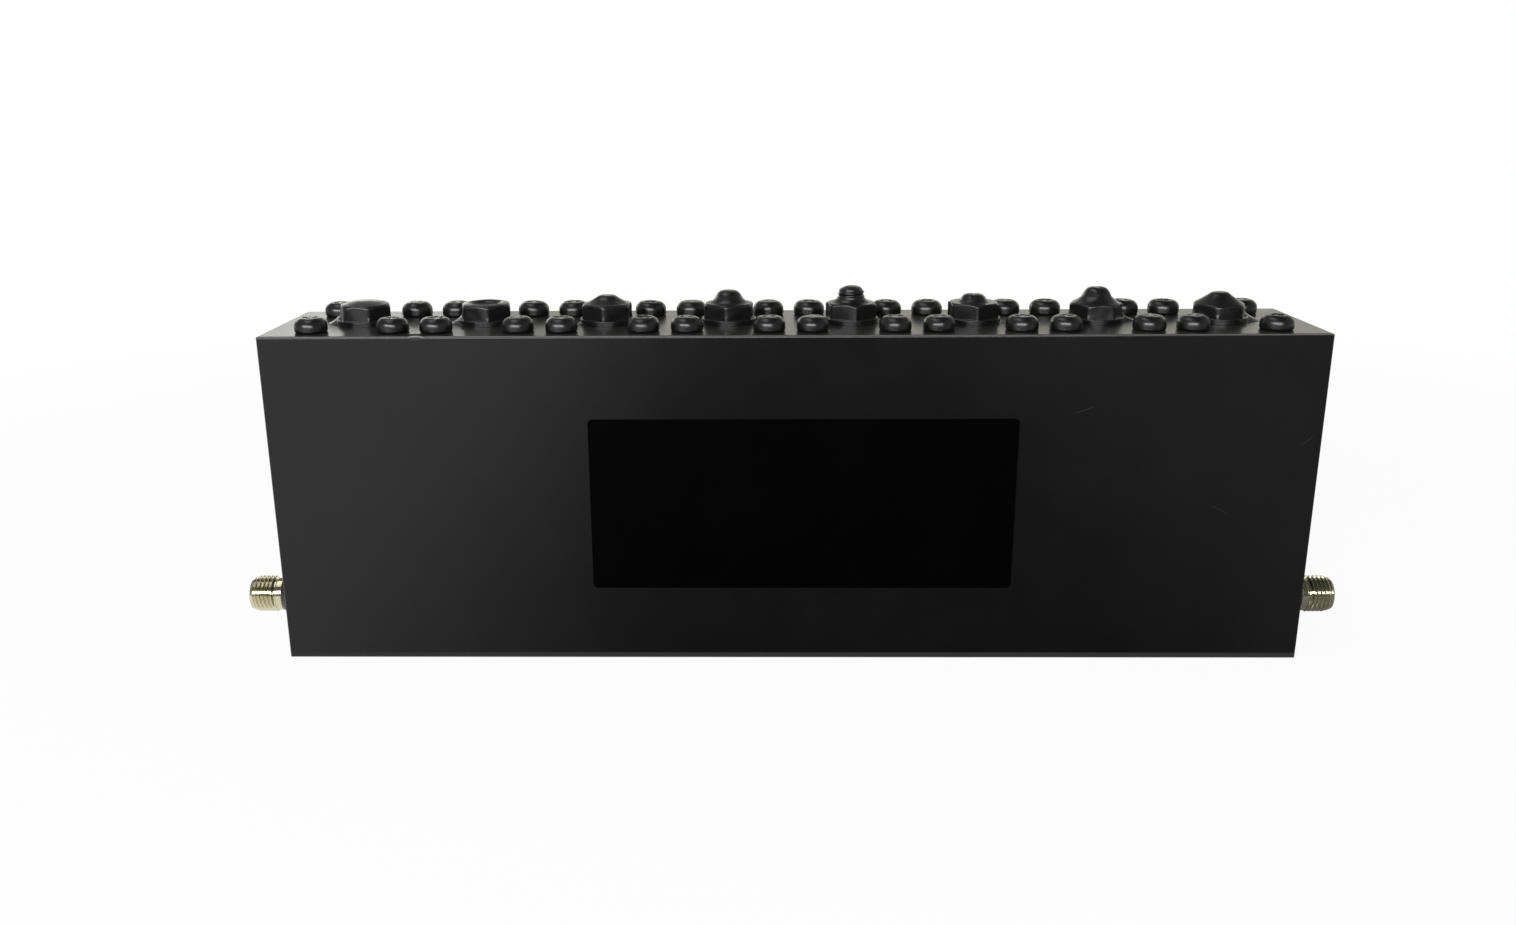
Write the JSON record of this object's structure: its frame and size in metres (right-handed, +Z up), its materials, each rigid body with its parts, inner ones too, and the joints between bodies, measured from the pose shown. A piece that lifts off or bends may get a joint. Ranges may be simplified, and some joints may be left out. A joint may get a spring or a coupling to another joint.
{
  "type": "cavity filter",
  "caption": "Slim black-painted cavity filter with a screwed cover, a row of locked tuning screws and a coaxial jack on each end.",
  "frame": {"origin": "centre of the underside, which is the face it rests on", "axes": "+X along the row of cavities, +Y to the back, away from the label, +Z up towards the cover"},
  "size_m": [0.1906, 0.0251, 0.0613],
  "materials": {
    "black_paint": "semi-gloss black enamel",
    "painted_sealant": "lacquer under black enamel",
    "label_film": "satin black film",
    "silver_plate": "silver-plated brass",
    "jack_nickel": "turned and plated, with a warm tint, black paint on the hexagon",
    "jack_dielectric": "white plastic",
    "jack_gold": "gold-plated"
  },
  "bodies": {
    "root": {"housing": "black_paint", "cover": "black_paint", "cover_screws": "black_paint", "nut_washers": "black_paint", "tuning_screw_1": "black_paint", "tuning_screw_2": "black_paint", "tuning_screw_3": "black_paint", "tuning_screw_4": "black_paint", "tuning_screw_5": "black_paint", "tuning_screw_6": "black_paint", "tuning_screw_7": "black_paint", "tuning_screw_8": "black_paint", "lock_nut_1": "black_paint", "lock_nut_2": "black_paint", "lock_nut_3": "black_paint", "lock_nut_4": "black_paint", "lock_nut_5": "black_paint", "lock_nut_6": "black_paint", "lock_nut_7": "black_paint", "lock_nut_8": "black_paint", "sealant_1": "painted_sealant", "sealant_3": "painted_sealant", "sealant_4": "painted_sealant", "sealant_5": "painted_sealant", "sealant_7": "painted_sealant", "sealant_8": "painted_sealant", "label": "label_film", "resonator_1": "silver_plate", "resonator_2": "silver_plate", "resonator_3": "silver_plate", "resonator_4": "silver_plate", "resonator_5": "silver_plate", "resonator_6": "silver_plate", "resonator_7": "silver_plate", "resonator_8": "silver_plate", "through_line": "silver_plate", "coupling_probes": "silver_plate", "left_jack_shell": "jack_nickel", "right_jack_shell": "jack_nickel", "left_jack_dielectric": "jack_dielectric", "right_jack_dielectric": "jack_dielectric", "left_jack_contact": "jack_gold", "right_jack_contact": "jack_gold"}
  },
  "joints": []
}
